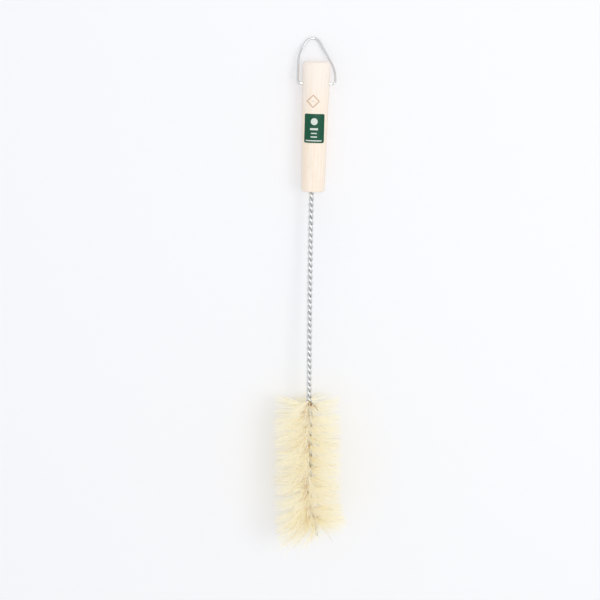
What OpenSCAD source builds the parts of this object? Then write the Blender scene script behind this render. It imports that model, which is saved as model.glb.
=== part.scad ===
// Bottle brush: turned beech handle, wire hanging bail, twisted galvanised wire
// stem and a head of natural fibre.  It lies on the floor at z = 0 as it comes
// to rest, hanging end towards +Y: the butt of the handle, the tip of the bail
// and the first bristles of the head touch the floor.

/* [Handle] */
// Length of the turned handle
handle_l = 98.5; // [80:0.5:140]
// Diameter at the hanging end
butt_d = 20.8; // [18:0.2:28]
// Diameter at the wire end
neck_d = 17.6; // [14:0.2:24]
// Edge rounding of the hanging end
butt_round = 3; // [1:0.2:5]
// Edge rounding of the wire end
neck_round = 1; // [0.4:0.2:3]
// Depth of the stem bore beyond the end of the wire
bore_extra = 3; // [1:0.5:8]
// Sideways offset of the stem bore, as drilled
bore_shift = -1.1; // [-1.2:0.1:1.2]

/* [Hanging bail] */
// Diameter of the bail wire
bail_wire = 1.6; // [1.2:0.1:2.2]
// Distance of the cross hole from the hanging end
pivot_inset = 16.5; // [12:0.5:24]
// Radial play of the bail ends in the cross hole
pivot_play = 0.08; // [0.02:0.01:0.1]
// Length of wire inside the handle at each end
bail_seat = 5.5; // [3:0.5:7]
// Gap between a leg and the side of the handle
leg_gap = 2.8; // [1.5:0.1:5]
// Height above the hanging end at which the two sides would meet in a point
peak_rise = 22.8; // [18:0.2:28]
// Sideways offset of the hand-bent top
peak_shift = -2.7; // [-4:0.1:4]
// Bend radius at the top
peak_r = 5.8; // [3:0.2:6]
// Bend radius at the foot of each leg
foot_r = 2.4; // [1.6:0.2:3]
// Height above the hanging end of the first leg's corner
first_rise = 7.5; // [4:0.5:8]
// Bend radius of the first leg's corner
first_r = 24; // [6:1:24]
// Height above the cross hole of the second leg's corner
second_rise = 10.3; // [9.5:0.1:12]
// Bend radius of the second leg's corner
second_r = 26; // [6:1:26]
// Diameter of the countersink round the cross hole
sink_d = 3.6; // [2.6:0.2:5]

/* [Twisted wire] */
// Diameter of the galvanised wire
wire_d = 2; // [1.6:0.1:2.4]
// Length of wire pushed into the handle
wire_in = 35; // [20:1:36]
// Length of bare stem between handle and bristles
stem_l = 163.5; // [100:0.5:240]
// Length of one full turn in the bare stem
stem_pitch = 9.35; // [8:0.05:14]
// Length of one full turn in the bristled part
head_pitch = 16.4; // [12:0.1:24]
// Angle of the first strand where the wire leaves the handle
start_turn = 50; // [0:5:355]
// Length of the folded end beyond the last bristles
fold_l = 9; // [5:0.5:14]
// Sideways bow of the whole stem at its end
stem_bow = 6.2; // [0:0.1:12]
// Extra sideways bend of the tip
tip_bend = 6.6; // [0:0.1:9]
// Length over which the tip bends
tip_bend_l = 36; // [20:1:60]

/* [Bristle head] */
// Length of the bristled part
head_l = 100.5; // [60:0.5:140]
// Diameter over the bristle ends
head_d = 55; // [40:1:70]
// Depth by which the first bristles are pressed flat on the floor
pressed = 2.6; // [1:0.2:4]
// Thickness of the sheet of fibre between the two strands
fibre_t = 0.8; // [0.6:0.05:1]
// Number of tufts on each side of the wire
tufts = 212; // [60:4:240]
// Width of a tuft at its widest
tuft_w = 2.7; // [1.4:0.1:3.4]
// Thickness of a tuft at its widest
tuft_t = 2.1; // [1:0.1:3]
// Lean of the last tufts towards the tip
tip_splay = 40; // [0:1:50]
// Length over which the tufts start to lean
splay_l = 22; // [8:1:40]

/* [Label] */
// Width of the paper label, measured flat across
label_w = 15; // [8:0.5:16]
// Length of the paper label along the handle
label_l = 22; // [12:0.5:36]
// Distance of the label's middle from the hanging end
label_at = 50; // [40:0.5:64]
// Corner radius of the label
label_r = 1.2; // [0.4:0.1:3]
// Thickness of the label
label_t = 0.15; // [0.1:0.05:0.4]

/* [Hidden] */

beech = "#f1ddc6";
steel = "#c9ccce";
zinc = "#a3a5a5";
fibre = "#f3e2a6";
paper = "#155f45";

round_fn = 96;                 // facets of turned forms
wire_fn = 24;                  // facets of the bail wire
cut = 0.01;                    // overrun of cutting tools
glue = 0.03;                   // glue line under the label
strand_gap = 0.06;             // room between the two strands
bore_play = 0.05;              // room round the wire in its bore
sheet_room = 0.2;              // room between a strand and the twisted sheet's facets
sheet_edge = 1.2;              // how far the sheet's edge stands out past the strands
label_turn = -4;               // sideways turn of the label round the handle

butt_r = butt_d / 2;
neck_r = neck_d / 2;
wire_r = wire_d / 2;
bail_r = bail_wire / 2;
head_r = head_d / 2;

// Radius of the handle at a distance y from its wire end
function handle_r(y) = neck_r + (butt_r - neck_r) * y / handle_l;
taper = atan((butt_r - neck_r) / handle_l);

// The wire runs along -Y from the handle's wire end, at y = 0.  A place on it is
// given by s, its distance from there.
head_from = stem_l;
head_to = stem_l + head_l;
fold_from = head_to + fold_l - 2 * wire_d;
bend_from = head_to + fold_l - tip_bend_l;
wire_end = head_to + fold_l;

function unit(v) = v / norm(v);
function within(x, low, high) = max(low, min(high, x));
function bow(s) = stem_bow * pow(max(s, 0) / wire_end, 1.5)
    + tip_bend * pow(max(s - bend_from, 0) / tip_bend_l, 2);
function middle(s) = [bore_shift + bow(s), -s, 0];
function heading(s) = unit(middle(s + 0.5) - middle(s - 0.5));
function sideways(s) = cross([0, 0, 1], heading(s));
function spoke(s, turn) = cos(turn) * sideways(s) + sin(turn) * [0, 0, 1];

// Left-handed lay, slower where the fibre lies between the strands
function lay(s) = start_turn - 360 * (min(s, head_from) / stem_pitch
    + (within(s, head_from, fold_from) - head_from) / head_pitch);

// Distance of a strand from the middle line
bare_offset = wire_r + strand_gap;
head_offset = wire_r + fibre_t / 2 + sheet_room;
spread_l = 5;
function offset_at(s) = bare_offset
    + (head_offset - bare_offset) * within((s - head_from + spread_l) / spread_l, 0, 1);

// The lying pose
butt_corner = [handle_l - butt_round, butt_r - butt_round];
lie = asin((head_r - pressed - butt_r) / (head_from + handle_l));
axis_h = butt_corner[1] * cos(lie) + butt_round + butt_corner[0] * sin(lie);
function height(p) = axis_h - p[1] * sin(lie) + p[2] * cos(lie);

// The bail, drawn flat: x across the handle, y away from the pivot
pivot_y = handle_l - pivot_inset;
pivot_r = handle_r(pivot_y);
hole_r = bail_r + pivot_play;
leg_x = butt_r + leg_gap + bail_r;
seat_x = pivot_r - bail_seat;
uneven = 0.5;                  // the second leg stands this much further out
bail_path = [[-seat_x, 0], [-leg_x, 0], [-leg_x, pivot_inset + first_rise],
             [peak_shift, pivot_inset + peak_rise], [leg_x + uneven, second_rise],
             [leg_x + uneven, 0], [seat_x, 0]];
bail_bends = [0, foot_r, first_r, peak_r, second_r, foot_r, 0];
swell = 0.01;                  // a bend is this much thicker than its straights
seated = 0.1;                  // and a straight runs this far into a bend
pivot_h = height([0, pivot_y, 0]);
peak_top = bend_middle(3)[1] + peak_r;
droop = asin((pivot_h - bail_r - swell) / peak_top);

// Middle of the frame
mid_x = middle(head_to - splay_l)[0];
front_y = pivot_y * cos(lie) + peak_top * cos(droop) + bail_r;
back_y = (head_to + head_r * sin(tip_splay)) * cos(lie);
mid_y = (front_y - back_y) / 2;

// Corners of a bent wire: each bend touches its two straights
function to_last(i) = unit(bail_path[i - 1] - bail_path[i]);
function to_next(i) = unit(bail_path[i + 1] - bail_path[i]);
function corner(i) = acos(to_last(i) * to_next(i));
function run_in(i) = bail_bends[i] == 0 ? 0 : bail_bends[i] / tan(corner(i) / 2);
function bend_middle(i) = bail_path[i]
    + unit(to_last(i) + to_next(i)) * bail_bends[i] / sin(corner(i) / 2);
function angle_of(v) = atan2(v[1], v[0]);

module lying() translate([-mid_x, -mid_y, axis_h]) rotate([-lie, 0, 0]) children();

module handle() color(beech) lying() difference() {
    rotate([-90, 0, 0]) rotate_extrude($fn = round_fn) handle_profile();
    translate([bore_shift, -cut, 0]) rotate([-90, 0, 0])
        cylinder(h = wire_in + bore_extra + cut, r = bare_offset + wire_r + bore_play, $fn = 48);
    translate([-butt_r, pivot_y, 0]) rotate([0, 90, 0])
        cylinder(h = butt_d, r = hole_r, $fn = 48);
    for (side = [-1, 1]) translate([side * pivot_r, pivot_y, 0]) rotate([0, side * 90, 0])
        countersink();
}

// Half section of the handle: radius along x, length along y
module handle_profile() {
    neck_in = neck_r - neck_round;
    butt_in = butt_r - butt_round;
    polygon([[0, 0], [neck_in, 0], [neck_in, neck_round],
             [neck_in + neck_round * cos(taper), neck_round - neck_round * sin(taper)],
             [butt_in + butt_round * cos(taper),
              handle_l - butt_round - butt_round * sin(taper)],
             [butt_in, handle_l - butt_round], [butt_in, handle_l], [0, handle_l]]);
    translate([neck_in, neck_round]) circle(r = neck_round, $fn = round_fn);
    translate([butt_in, handle_l - butt_round]) circle(r = butt_round, $fn = round_fn);
}

module countersink() {
    deep = sink_d / 2 - hole_r;
    translate([0, 0, -deep]) cylinder(h = deep + 1, r1 = hole_r, r2 = sink_d / 2 + 1, $fn = 48);
}

module bail() color(steel)
    translate([-mid_x, -mid_y + pivot_y * cos(lie), pivot_h]) rotate([-droop, 0, 0]) {
        for (i = [0 : len(bail_path) - 2]) bail_straight(i);
        for (i = [1 : len(bail_path) - 2]) bail_bend(i);
    }

module bail_straight(i) {
    along = unit(bail_path[i + 1] - bail_path[i]);
    before = run_in(i) - (i == 0 ? 0 : seated);
    after = run_in(i + 1) - (i == len(bail_path) - 2 ? 0 : seated);
    translate(bail_path[i] + along * before) rotate([0, 90, angle_of(along)])
        cylinder(h = norm(bail_path[i + 1] - bail_path[i]) - before - after,
                 r = bail_r, $fn = wire_fn);
}

module bail_bend(i) {
    turn = 180 - corner(i);
    way = unit(to_last(i) + to_next(i));
    translate(bend_middle(i)) rotate([0, 0, angle_of(-way) - turn / 2])
        rotate_extrude(angle = turn, $fn = wire_fn * 4)
            translate([bail_bends[i], 0]) circle(r = bail_r + swell, $fn = wire_fn);
}

// One wire folded double and twisted: down the first strand, round the fold and
// back up the second
module stem_wire() color(zinc) lying() {
    rings_per_turn = 8;
    bare_steps = round((wire_in + head_from) / stem_pitch * rings_per_turn);
    head_steps = round((fold_from - head_from) / head_pitch * (rings_per_turn + 2));
    stations = [for (i = [0 : bare_steps - 1])
                    -wire_in + (wire_in + head_from) * i / bare_steps,
                for (i = [0 : head_steps]) head_from + (fold_from - head_from) * i / head_steps];
    last = len(stations) - 1;
    fold_turn = lay(fold_from);
    nose = wire_end - wire_r - head_offset;
    down = [for (s = stations) strand_point(s, 1), strand_point(nose, 1)];
    back = [strand_point(nose, -1), for (i = [last : -1 : 0]) strand_point(stations[i], -1)];
    fold = [for (a = [22.5 : 22.5 : 157.5]) middle(nose)
        + head_offset * (cos(a) * spoke(nose, fold_turn) + sin(a) * heading(nose))];
    down_across = [for (s = stations) wire_across(s), wire_across(nose)];
    back_across = [for (i = [last + 1 : -1 : 0]) down_across[i]];
    tube(concat(down, fold, back),
         concat(down_across, [for (p = fold) wire_across(nose)], back_across));
}

function strand_point(s, side) = middle(s) + side * offset_at(s) * spoke(s, lay(s));
function wire_across(s) = cross(heading(s), spoke(s, lay(s)));

// A six-sided tube along a path, flats facing the middle line
module tube(path, across) {
    sides = 6;
    corner_r = wire_r * 1.05;
    n = len(path);
    along = [for (i = [0 : n - 1]) unit(path[min(i + 1, n - 1)] - path[max(i - 1, 0)])];
    points = [for (i = [0 : n - 1])
        let (b = unit(across[i] - (across[i] * along[i]) * along[i]), a = cross(b, along[i]))
        for (k = [0 : sides - 1]) let (turn = 360 * (k + 0.5) / sides)
            path[i] + corner_r * (cos(turn) * a + sin(turn) * b)];
    walls = [for (i = [0 : n - 2], k = [0 : sides - 1])
        let (p = i * sides + k, q = i * sides + (k + 1) % sides)
        for (face = [[p, p + sides, q], [q, p + sides, q + sides]]) face];
    caps = [[for (k = [0 : sides - 1]) k],
            [for (k = [sides - 1 : -1 : 0]) (n - 1) * sides + k]];
    polyhedron(points, concat(walls, caps));
}

// The fibre: a thin twisted sheet gripped between the strands.  Each short length
// of its two edges opens into a tuft, narrow at the wire, widest near the end
module bristle_head() color(fibre) lying() {
    ring = 4;
    base_count = ring * (tufts + 1);
    base = [for (i = [0 : tufts])
        let (s = station(i), a = spoke(s, lay(s) + 90) * sheet_w,
             b = through(s, 1) * fibre_t / 2, c = through(s, -1) * fibre_t / 2)
        for (corner = [a + b, a - b, c - a, -c - a]) middle(s) + corner];
    tuft_points = [for (i = [0 : tufts - 1], side = [1, -1]) each tuft(i, side)];
    flats = [for (p = [0 : ring : ring * (tufts - 1)])
        each [[p, p + 3, p + 7], [p, p + 7, p + 4], [p + 2, p + 1, p + 6], [p + 1, p + 5, p + 6]]];
    tuft_walls = [for (i = [0 : tufts - 1], side = [0, 1])
        let (p = i * ring + 2 * side, root = [p, p + 1, p + 1 + ring, p + ring],
             first = base_count + (2 * i + side) * (ring + 1), tip = first + ring)
        for (j = [0 : ring - 1]) let (k = (j + 1) % ring, m = first + j, n = first + k)
            each [[root[k], root[j], m], [n, root[k], m], [n, m, tip]]];
    ends = [[0, 1, 2, 3], [for (k = [3 : -1 : 0]) ring * tufts + k]];
    polyhedron(concat(base, tuft_points), concat(flats, tuft_walls, ends));
}

sheet_w = head_offset + wire_r + sheet_edge;
fan = [5.6, 2.8, 0, -2.8, -5.6];
turn_jitter = rands(-0.6, 0.6, tufts, 11);
length_jitter = rands(0.95, 1.03, tufts, 5);
function station(i) = head_from + head_l * i / tufts;

// Along the twisted sheet a little outside its edges, and square through it there
steep = (sheet_w + 2.5) * 2 * PI / head_pitch;
function edgeways(s, side) = unit(heading(s) + steep * side * spoke(s, lay(s)));
function through(s, side) = unit(side * spoke(s, lay(s)) - steep * heading(s));

// Lean of the tufts along the brush: back at the neck, forward at the tip
function lean(s) = -8 * pow(max(1 - (s - head_from) / splay_l, 0), 2)
    + tip_splay * pow(max(1 - (head_to - s) / splay_l, 0), 1.5);

// The four corners of a tuft's widest place, then its tip.  What would reach
// below the floor is pressed short.
function tuft(i, side) =
    let (s = station(i + 0.5),
         radial = spoke(s, lay(s) + side * 90 + turn_jitter[i]),
         out = unit(radial + tan(lean(s) + fan[i % len(fan)]) * heading(s)),
         root = middle(s) + sheet_w * radial,
         fall = axis_h - height(out),
         room = fall > 0 ? height(root) / fall : head_r,
         reach = min(head_r * length_jitter[i] - sheet_w, room),
         wide = reach * 0.78,
         a = edgeways(s, side) * tuft_w / 2,
         b = through(s, side) * tuft_t / 2)
    [for (corner = [b - a, -b - a, a - b, a + b]) root + out * wide + corner,
     root + out * reach];

module label() color(paper) lying() intersection() {
    rotate([-90, 0, 0]) difference() {
        label_cone(glue + label_t, 0);
        label_cone(glue, cut);
    }
    rotate([0, label_turn, 0]) translate([0, handle_l - label_at, 0])
        linear_extrude(height = butt_d) rounded_rectangle(label_w, label_l, label_r);
}

// The handle's own cone round the label, grown by out
module label_cone(out, over) {
    y0 = handle_l - label_at - label_l / 2 - 1;
    y1 = handle_l - label_at + label_l / 2 + 1;
    rotate_extrude($fn = round_fn)
        polygon([[0, y0 - over], [handle_r(y0 - over) + out, y0 - over],
                 [handle_r(y1 + over) + out, y1 + over], [0, y1 + over]]);
}

module rounded_rectangle(w, l, r) {
    square([w - 2 * r, l], center = true);
    square([w, l - 2 * r], center = true);
    for (x = [-1, 1], y = [-1, 1]) translate([x * (w / 2 - r), y * (l / 2 - r)])
        circle(r = r, $fn = 48);
}

handle();
bail();
stem_wire();
bristle_head();
label();
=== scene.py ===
# %% [markdown]
# # A bottle brush
# The brush has a turned beech handle, a bright wire bail to hang it by, one long galvanised
# wire folded double and twisted, and plant fibres held between the wire's two strands. The
# CAD model gives each piece its place and size. These cells load it, then give every piece
# its real finish, and make the wires and the fibres again in full detail.

# %% Load the fixed frame
import bpy
import math
from mathutils import Matrix, Vector


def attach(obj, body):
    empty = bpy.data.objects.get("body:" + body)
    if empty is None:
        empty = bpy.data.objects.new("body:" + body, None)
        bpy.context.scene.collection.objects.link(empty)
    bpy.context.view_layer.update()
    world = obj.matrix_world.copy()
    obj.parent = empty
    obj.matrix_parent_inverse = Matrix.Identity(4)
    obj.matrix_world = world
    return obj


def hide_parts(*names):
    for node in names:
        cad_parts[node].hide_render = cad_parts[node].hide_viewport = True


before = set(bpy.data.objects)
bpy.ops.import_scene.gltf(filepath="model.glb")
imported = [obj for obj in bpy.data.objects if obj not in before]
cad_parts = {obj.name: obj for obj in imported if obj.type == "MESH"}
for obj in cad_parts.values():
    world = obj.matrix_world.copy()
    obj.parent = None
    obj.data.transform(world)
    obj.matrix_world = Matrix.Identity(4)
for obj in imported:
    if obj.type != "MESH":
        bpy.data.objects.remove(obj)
scene = bpy.context.scene
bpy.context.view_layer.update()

# %% [markdown]
# ## Colours and nodes
# Colours are written as sRGB hex values, but Blender's sockets take linear numbers, so one
# function turns them. Another adds a node to any tree, with its settings and what feeds it:
# shader trees and geometry trees are built in the same way. Its inputs go by name, or by
# number where names repeat: a map range goes from 1 and 2 to 3 and 4, and a colour mix has
# its share at 0 and its colours at 6 and 7. The commonest kinds of node have short names.

# %% Colour and node helpers
MM = 0.001
MATHS, VECTORS, MAP_RANGE = "ShaderNodeMath", "ShaderNodeVectorMath", "ShaderNodeMapRange"
SPLIT, MIX, RAMP = "ShaderNodeSeparateXYZ", "ShaderNodeMix", "ShaderNodeValToRGB"
KEEP, READ = "GeometryNodeStoreNamedAttribute", "GeometryNodeInputNamedAttribute"


def linear(hex_colour):
    """An sRGB hex colour as the linear numbers that Blender's sockets take."""
    parts = [int(hex_colour[i:i + 2], 16) / 255 for i in (1, 3, 5)]
    return (*[p / 12.92 if p <= 0.04045 else ((p + 0.055) / 1.055) ** 2.4 for p in parts], 1.0)


def add(tree, kind, feeds=None, **settings):
    """Adds a node. feeds maps an input to a value, a socket, or a node's first output."""
    node = tree.nodes.new(kind)
    for name, value in settings.items():
        setattr(node, name, value)
    for key, value in (feeds or {}).items():
        if isinstance(value, bpy.types.Node):
            value = value.outputs[0]
        if isinstance(value, bpy.types.NodeSocket):
            tree.links.new(value, node.inputs[key])
        else:
            node.inputs[key].default_value = value
    return node


print("Mid grey as linear numbers:", [round(x, 3) for x in linear("#808080")])

# %% [markdown]
# ## Finishes and meshes
# Every finish starts as one new material with its surface shader. A ramp turns a pattern's
# numbers into colours. A mesh is made from points, with edges or faces between them.

# %% Finish and mesh helpers
def new_finish(name, roughness, metallic=0.0, specular=0.5):
    """A new material, with its tree and its surface shader."""
    material = bpy.data.materials.new(name)
    material.use_nodes = True
    surface = material.node_tree.nodes["Principled BSDF"]
    surface.inputs["Roughness"].default_value = roughness
    surface.inputs["Metallic"].default_value = metallic
    surface.inputs["Specular IOR Level"].default_value = specular
    return material, material.node_tree, surface


def colour_ramp(node, stops):
    """Sets a ramp's stops, each a place from 0 to 1 and a hex colour."""
    ramp = node.color_ramp
    while len(ramp.elements) < len(stops):
        ramp.elements.new(1)
    for element, (place, hex_colour) in zip(ramp.elements, stops):
        element.position, element.color = place, linear(hex_colour)


def new_object(name, points, edges=(), faces=()):
    mesh = bpy.data.meshes.new(name)
    mesh.from_pydata(points, edges, faces)
    made = bpy.data.objects.new(name, mesh)
    scene.collection.objects.link(made)
    return made


print("Materials that came with the frame:", len(bpy.data.materials))

# %% [markdown]
# ## Where the brush lies
# A round brush can't stand, so it lies on the floor: the butt of the handle and the first
# bristles touch it, which tips the axis by about three degrees. The wire's middle line is
# measured by s, the distance from the handle's wire end, and it bows a little to one side,
# with its tip bent a little more. These are the CAD model's own sizes, in millimetres, and
# middle_x and middle_y are the middle of its box as it lies.

# %% The middle line of the brush
handle_l, handle_butt_r = 98.5, 10.4
butt_round, pivot_inset = 3.0, 16.5
bore_shift, stem_bow, tip_bend, tip_bend_l = -1.1, 6.2, 6.6, 36.0
wire_in, stem_l, head_l, fold_l, wire_r = 35.0, 163.5, 100.5, 9.0, 1.0
head_r, pressed = 27.5, 2.6
head_to, wire_end = stem_l + head_l, stem_l + head_l + fold_l
lie = math.asin((head_r - pressed - handle_butt_r) / (stem_l + handle_l))
axis_h = ((handle_butt_r - butt_round) * math.cos(lie) + butt_round
          + (handle_l - butt_round) * math.sin(lie))
middle_x, middle_y = 4.20184, -82.7624
pivot_y = handle_l - pivot_inset


def place(x, y, z):
    """A point of the brush, in mm with the handle's axis along y, as it lies on the floor."""
    return Vector((x - middle_x, y * math.cos(lie) + z * math.sin(lie) - middle_y,
                   z * math.cos(lie) - y * math.sin(lie) + axis_h)) * MM


def middle(s):
    bow = stem_bow * (max(s, 0) / wire_end) ** 1.5
    bend = tip_bend * (max(s - wire_end + tip_bend_l, 0) / tip_bend_l) ** 2
    return place(bore_shift + bow + bend, -s, 0)


def heading(s):
    return (middle(s + 0.5) - middle(s - 0.5)).normalized()


upward = Vector((0, math.sin(lie), math.cos(lie)))
print(f"The brush lies tipped by {math.degrees(lie):.2f} degrees, its axis {axis_h:.1f} mm up")

# %% [markdown]
# ## The camera
# It stands high above the brush and a little towards the hanging end, so the handle is seen
# almost square and the head slightly from behind. A long lens keeps the sides parallel. The
# camera's own axes are built from its tilt and roll.

# %% Camera
aim = Vector((-11.785, -1.899, 20.0)) * MM
distance, tilt, roll = 1463.5 * MM, math.radians(12.623), math.radians(1.629)
back = Vector((0, math.sin(tilt), math.cos(tilt)))
picture_up = Vector((0, math.cos(tilt), -math.sin(tilt)))
picture_right = Vector((1, 0, 0))
camera_x = picture_right * math.cos(roll) + picture_up * math.sin(roll)
camera_y = picture_up * math.cos(roll) - picture_right * math.sin(roll)

camera = bpy.data.objects.new("camera", bpy.data.cameras.new("camera"))
scene.collection.objects.link(camera)
camera.data.sensor_width, camera.data.lens = 36, 113.67
camera.data.clip_start, camera.data.clip_end = 0.05, 20
turn = Matrix((camera_x, camera_y, back)).transposed()
camera.matrix_world = Matrix.Translation(aim + back * distance) @ turn.to_4x4()
scene.camera = camera
print("Camera at", [round(x, 3) for x in camera.matrix_world.translation])

# %% [markdown]
# ## The card below
# The brush lies on pale card, matt and a little cool. A flat square is enough, because it
# is seen from above. It goes on far beyond the picture, so none of its edges show.

# %% Card floor
pale_card, tree, surface = new_finish("pale_card", roughness=0.9, specular=0.0)
surface.inputs["Base Color"].default_value = linear("#f5f6f9")
half_floor = 4.0
floor = new_object("floor", [(x * half_floor, y * half_floor, 0) for x, y in
                             ((-1, -1), (1, -1), (1, 1), (-1, 1))], faces=[(0, 1, 2, 3)])
floor.data.materials.append(pale_card)
print(f"{pale_card.name}: {2 * half_floor} m square")

# %% [markdown]
# ## The light tent
# The tent round the brush is the world. A plain white world would leave the metal flat. So
# it lights everything evenly, but what the camera and shiny metal see of it is white
# overhead and greyer towards the horizon: round wire gets a bright middle and grey edges.

# %% The world as a tent
world = bpy.data.worlds.new("light_tent")
scene.world = world
world.use_nodes = True
tent = world.node_tree
tent.nodes.clear()
direction = add(tent, "ShaderNodeTexCoord")
height = add(tent, SPLIT, {0: direction.outputs["Generated"]})
tent_colour = add(tent, RAMP, {0: height.outputs["Z"]})
colour_ramp(tent_colour, [(0.0, "#c0c2c5"), (0.3, "#c6c8cb"), (0.55, "#e6e8ea"),
                          (0.75, "#ffffff"), (1.0, "#ffffff")])
light_given, light_seen = 0.79, 1.0
glow = add(tent, "ShaderNodeBackground", {"Color": linear("#ffffff"), "Strength": light_given})
seen = add(tent, "ShaderNodeBackground", {"Color": tent_colour, "Strength": light_seen})
ray = add(tent, "ShaderNodeLightPath")
looked_at = ray.outputs["Is Camera Ray"]
for way in ("Is Glossy Ray", "Is Transmission Ray"):
    looked_at = add(tent, MATHS, {0: looked_at, 1: ray.outputs[way]}, operation="MAXIMUM")
sky = add(tent, "ShaderNodeMixShader", {0: looked_at, 1: glow, 2: seen})
add(tent, "ShaderNodeOutputWorld", {"Surface": sky})
print(f"The tent gives light of {light_given} and is seen at {light_seen}")

# %% [markdown]
# ## Two soft lamps
# They add the direction: one stands high beyond the hanging end, and one at the right makes
# the soft shadow on the left. With the tent they are as bright as a colour needs to show as
# it is written.

# %% Lamps
for name, lamp_from, width, power in (("front_softbox", Vector((0.05, 0.62, 2.93)), 0.5, 13.0),
                                      ("side_softbox", Vector((0.75, 0.2, 1.4)), 0.7, 3.3)):
    lamp = bpy.data.objects.new(name, bpy.data.lights.new(name, "AREA"))
    scene.collection.objects.link(lamp)
    lamp.data.shape, lamp.data.size, lamp.data.energy = "DISK", width, power
    lamp.matrix_world = Matrix.Translation(lamp_from) @ (
        lamp_from.to_track_quat("Z", "Y").to_matrix().to_4x4())
    print(f"{name}: {width} m wide, {lamp_from.length:.2f} m away, {power} W")

# %% [markdown]
# ## The handle's own millimetres
# The grain and the print are drawn in solid millimetres that go with the handle: x across
# it and y along its axis from the wire end. The brush lies tipped, so a mapping node turns
# the coordinates back first.

# %% The handle's coordinates
def handle_millimetres(tree, shift=(0, 0, 0)):
    """Object coordinates turned into mm from the handle's wire end, y along its axis."""
    coordinates = add(tree, "ShaderNodeTexCoord")
    return add(tree, "ShaderNodeMapping", {
        "Vector": coordinates.outputs["Object"], "Location": place(*shift),
        "Rotation": (-lie, 0, 0), "Scale": (MM, MM, MM)}, vector_type="TEXTURE")


print("The handle's wire end is at", [round(x / MM, 1) for x in place(0, 0, 0)], "mm")

# %% [markdown]
# ## Beech
# Raw turned beech, sanded and not varnished, so it is matt. It has fine pores that make
# short streaks along the grain, broad faint growth rings, and small darker ray flecks. An
# image wrapped round the stick would have a seam and wrong ends. The patterns are solid
# instead, so the same rings show as streaks along the side and as arcs on the two ends.
# Pores are 0.1 mm wide on real beech and are drawn about 0.5 mm wide here, so that they
# show. A wave texture repeats after wave_step of its own units.

# %% Pores, rings and flecks
beech, tree, surface = new_finish("sanded_beech", roughness=0.62, specular=0.3)
wood = handle_millimetres(tree)
pore_width, pore_length = 0.5, 9.0
pore_scale = (1 / pore_width, 1 / pore_length, 1 / pore_width)
stretched = add(tree, VECTORS, {0: wood, 1: pore_scale}, operation="MULTIPLY")
pores = add(tree, "ShaderNodeTexNoise", {"Vector": stretched, "Scale": 0.55, "Detail": 3.0,
                                         "Roughness": 0.55})
ring_width, wave_step, pith_place = 2.6, 0.314, (31.0, 0.0, -24.0)
from_pith = add(tree, VECTORS, {0: wood, 1: pith_place}, operation="SUBTRACT")
squeezed = add(tree, VECTORS, {0: from_pith, 1: (1.0, 0.04, 1.0)}, operation="MULTIPLY")
rings = add(tree, "ShaderNodeTexWave", {
    "Vector": squeezed, "Scale": wave_step / ring_width, "Distortion": 1.6, "Detail": 2.0,
    "Detail Scale": 0.25}, wave_type="RINGS", rings_direction="Y")
fleck_place = add(tree, VECTORS, {0: wood, 1: (1.0, 0.22, 1.0)}, operation="MULTIPLY")
flecks = add(tree, "ShaderNodeTexVoronoi", {"Vector": fleck_place, "Scale": 0.55})
print(f"Pores {pore_width} mm wide and {pore_length} mm long, rings {ring_width} mm apart")

# %% [markdown]
# ## The wood's colours
# The wood is pale and slightly pink. Each pattern has a ramp of its own tints, and the three
# are laid over each other. Towards the hanging end the wood is paler.

# %% Tints of the wood
pore_tint = add(tree, RAMP, {0: pores.outputs[0]})
colour_ramp(pore_tint, [(0.30, "#f5e8d8"), (0.52, "#faeee1"), (0.75, "#fbf2e8")])
ring_tint = add(tree, RAMP, {0: rings.outputs["Fac"]})
colour_ramp(ring_tint, [(0.0, "#ffffff"), (0.7, "#fffdfb"), (1.0, "#fdf9f3")])
fleck_tint = add(tree, RAMP, {0: flecks.outputs["Distance"]})
colour_ramp(fleck_tint, [(0.0, "#ecd2b6"), (0.16, "#fffefd"), (1.0, "#ffffff")])
streaked = add(tree, MIX, {0: 1.0, 6: pore_tint, 7: ring_tint},
               data_type="RGBA", blend_type="MULTIPLY")
flecked = add(tree, MIX, {0: 0.8, 6: streaked.outputs[2], 7: fleck_tint},
              data_type="RGBA", blend_type="MULTIPLY")
pale_from, pale_to, paleness = 55.0, 98.0, 0.6
wood_parts = add(tree, SPLIT, {0: wood})
paler = add(tree, MAP_RANGE, {0: wood_parts.outputs["Y"], 1: pale_from, 2: pale_to,
                              3: 0.0, 4: paleness})
faded = add(tree, MIX, {0: paler, 6: flecked.outputs[2], 7: linear("#fbf3ed")},
            data_type="RGBA")
print(f"The wood pales from {pale_from} mm on")

# %% [markdown]
# ## A mark burnt into the wood
# Such handles often carry a small mark pressed in with a hot stamp. Here it is a plain
# lozenge with a dot, drawn by the distance from its centre counted along both sides at once,
# which is what makes a square standing on its corner. A formula needs no picture and stays
# clean from close by. The line is brown and soft at its edges, because heat spreads in wood.

# %% Burnt lozenge
lozenge_centre, lozenge_reach, line_width = (-1.9, 69.0, 0.0), 4.6, 0.62
offset = add(tree, VECTORS, {0: wood, 1: lozenge_centre}, operation="SUBTRACT")
both_ways = add(tree, VECTORS, {0: offset}, operation="ABSOLUTE")
away = add(tree, SPLIT, {0: both_ways})
steps = add(tree, MATHS, {0: away.outputs["X"], 1: away.outputs["Y"]})
past_line = add(tree, MATHS, {0: steps, 1: lozenge_reach}, operation="SUBTRACT")
from_line = add(tree, MATHS, {0: past_line}, operation="ABSOLUTE")
nearest = add(tree, MATHS, {0: from_line, 1: steps}, operation="MINIMUM")
burnt = add(tree, MAP_RANGE, {0: nearest, 1: line_width * 1.5, 2: line_width * 0.5,
                              3: 0.0, 4: 0.62}, interpolation_type="SMOOTHSTEP")
on_top = add(tree, MATHS, {0: wood_parts.outputs["Z"], 1: 0.0}, operation="GREATER_THAN")
burn = add(tree, MATHS, {0: burnt, 1: on_top}, operation="MULTIPLY")
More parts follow.
